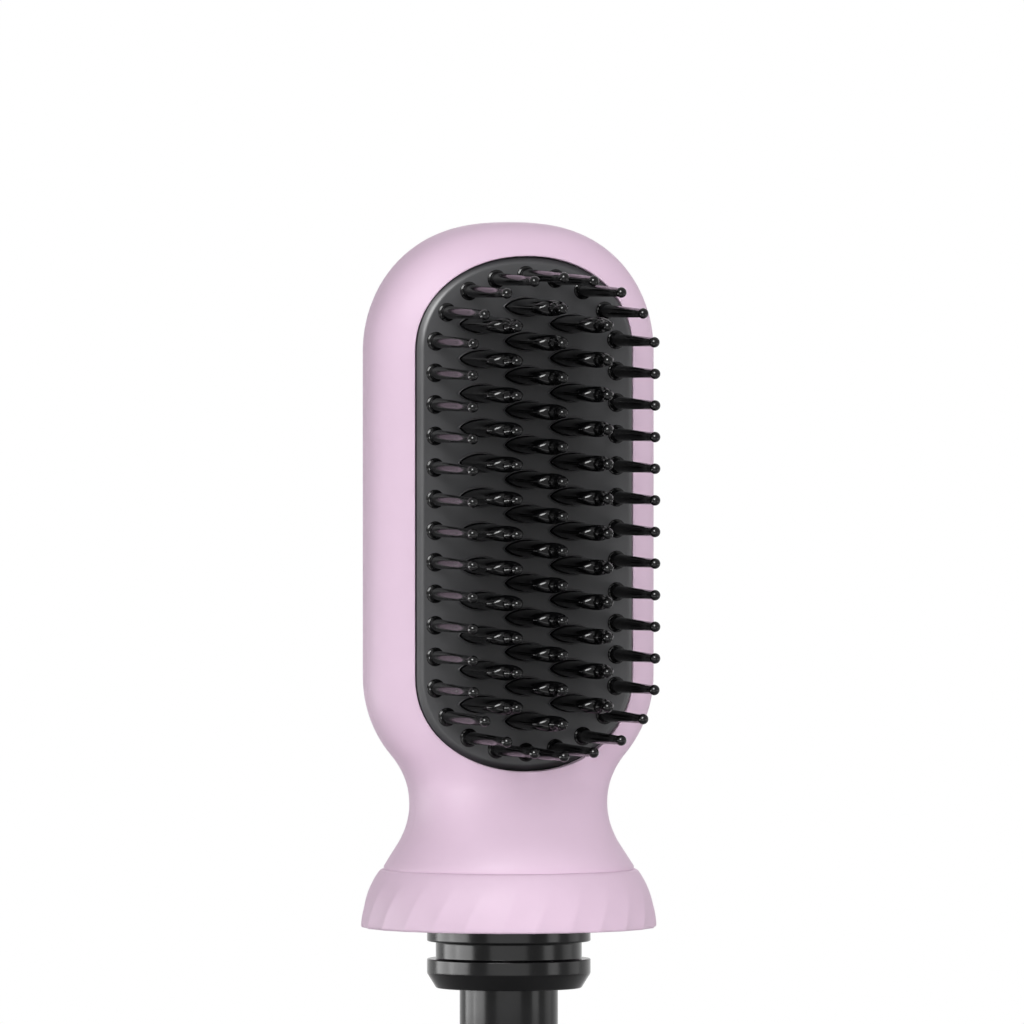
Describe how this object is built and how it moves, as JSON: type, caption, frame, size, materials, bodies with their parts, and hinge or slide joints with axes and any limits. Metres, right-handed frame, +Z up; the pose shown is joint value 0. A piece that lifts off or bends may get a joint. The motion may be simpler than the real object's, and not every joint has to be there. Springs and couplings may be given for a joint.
{
  "type": "hair multi-styler heated brush head",
  "caption": "Heated brush head for a multi-styler: oval field of fins and ball-tipped bristles in a pink shell, with a fluted twist lock ring and a black plug.",
  "frame": {"origin": "on the stem's axis at its lower end", "axes": "+Z up the stem to the head's top, -Y the side the bristles point to, +X to the right seen from there"},
  "size_m": [0.0654, 0.0691, 0.1916],
  "materials": {
    "pink_shell": "satin lilac-pink plastic",
    "pink_ring": "satin lilac-pink plastic",
    "spring_steel": "ground spring steel",
    "steel_pins": "ground steel",
    "black_plug": "semi-gloss black plastic",
    "screws": "zinc-plated steel",
    "black_tube": "semi-gloss black plastic",
    "block_plastic": "moulded insulating plastic",
    "contact_brass": "plated contact brass",
    "grommet_rubber": "moulded rubber",
    "black_plate": "satin black heat-resistant plastic",
    "bristle_nylon": "satin black nylon",
    "coated_aluminium": "gloss black ceramic coat on aluminium",
    "mica_sheet": "pressed mica sheet",
    "copper_strip": "rolled copper strip",
    "ceramic_cells": "fired ceramic",
    "clamp_steel": "rolled spring steel",
    "cutout_case": "pressed brass case",
    "sensor_resin": "dark resin",
    "red_lead": "red silicone insulation",
    "white_lead": "white silicone insulation",
    "tie_nylon": "natural nylon"
  },
  "bodies": {
    "head": {"front_shell": "pink_shell", "rear_shell": "pink_shell", "ring_retainer": "spring_steel", "wave_washer": "spring_steel", "stop_pins": "steel_pins", "plug_body": "black_plug", "plug_screws": "screws", "stem_tube": "black_tube", "contact_block": "block_plastic", "contact_pins": "contact_brass", "grommet": "grommet_rubber", "bristle_plate": "black_plate", "plate_screws": "screws", "edge_bristles": "bristle_nylon", "comb_base": "coated_aluminium", "heat_fins": "coated_aluminium", "fin_tips": "bristle_nylon", "insulation_sheets": "mica_sheet", "electrodes": "copper_strip", "heater_cells": "ceramic_cells", "clamp_plate": "clamp_steel", "clamp_screws": "screws", "thermal_cutout": "cutout_case", "temperature_sensor": "sensor_resin", "power_leads": "red_lead", "sensor_leads": "white_lead", "lead_tie": "tie_nylon"},
    "collar": {"lock_ring": "pink_ring"}
  },
  "joints": [
    {"name": "lock_ring_twist", "type": "hinge", "parent": "head", "child": "collar", "pos_m": [0, 0, 0.0494], "axis": [0, 0, 1], "range_deg": [0, 30]}
  ]
}
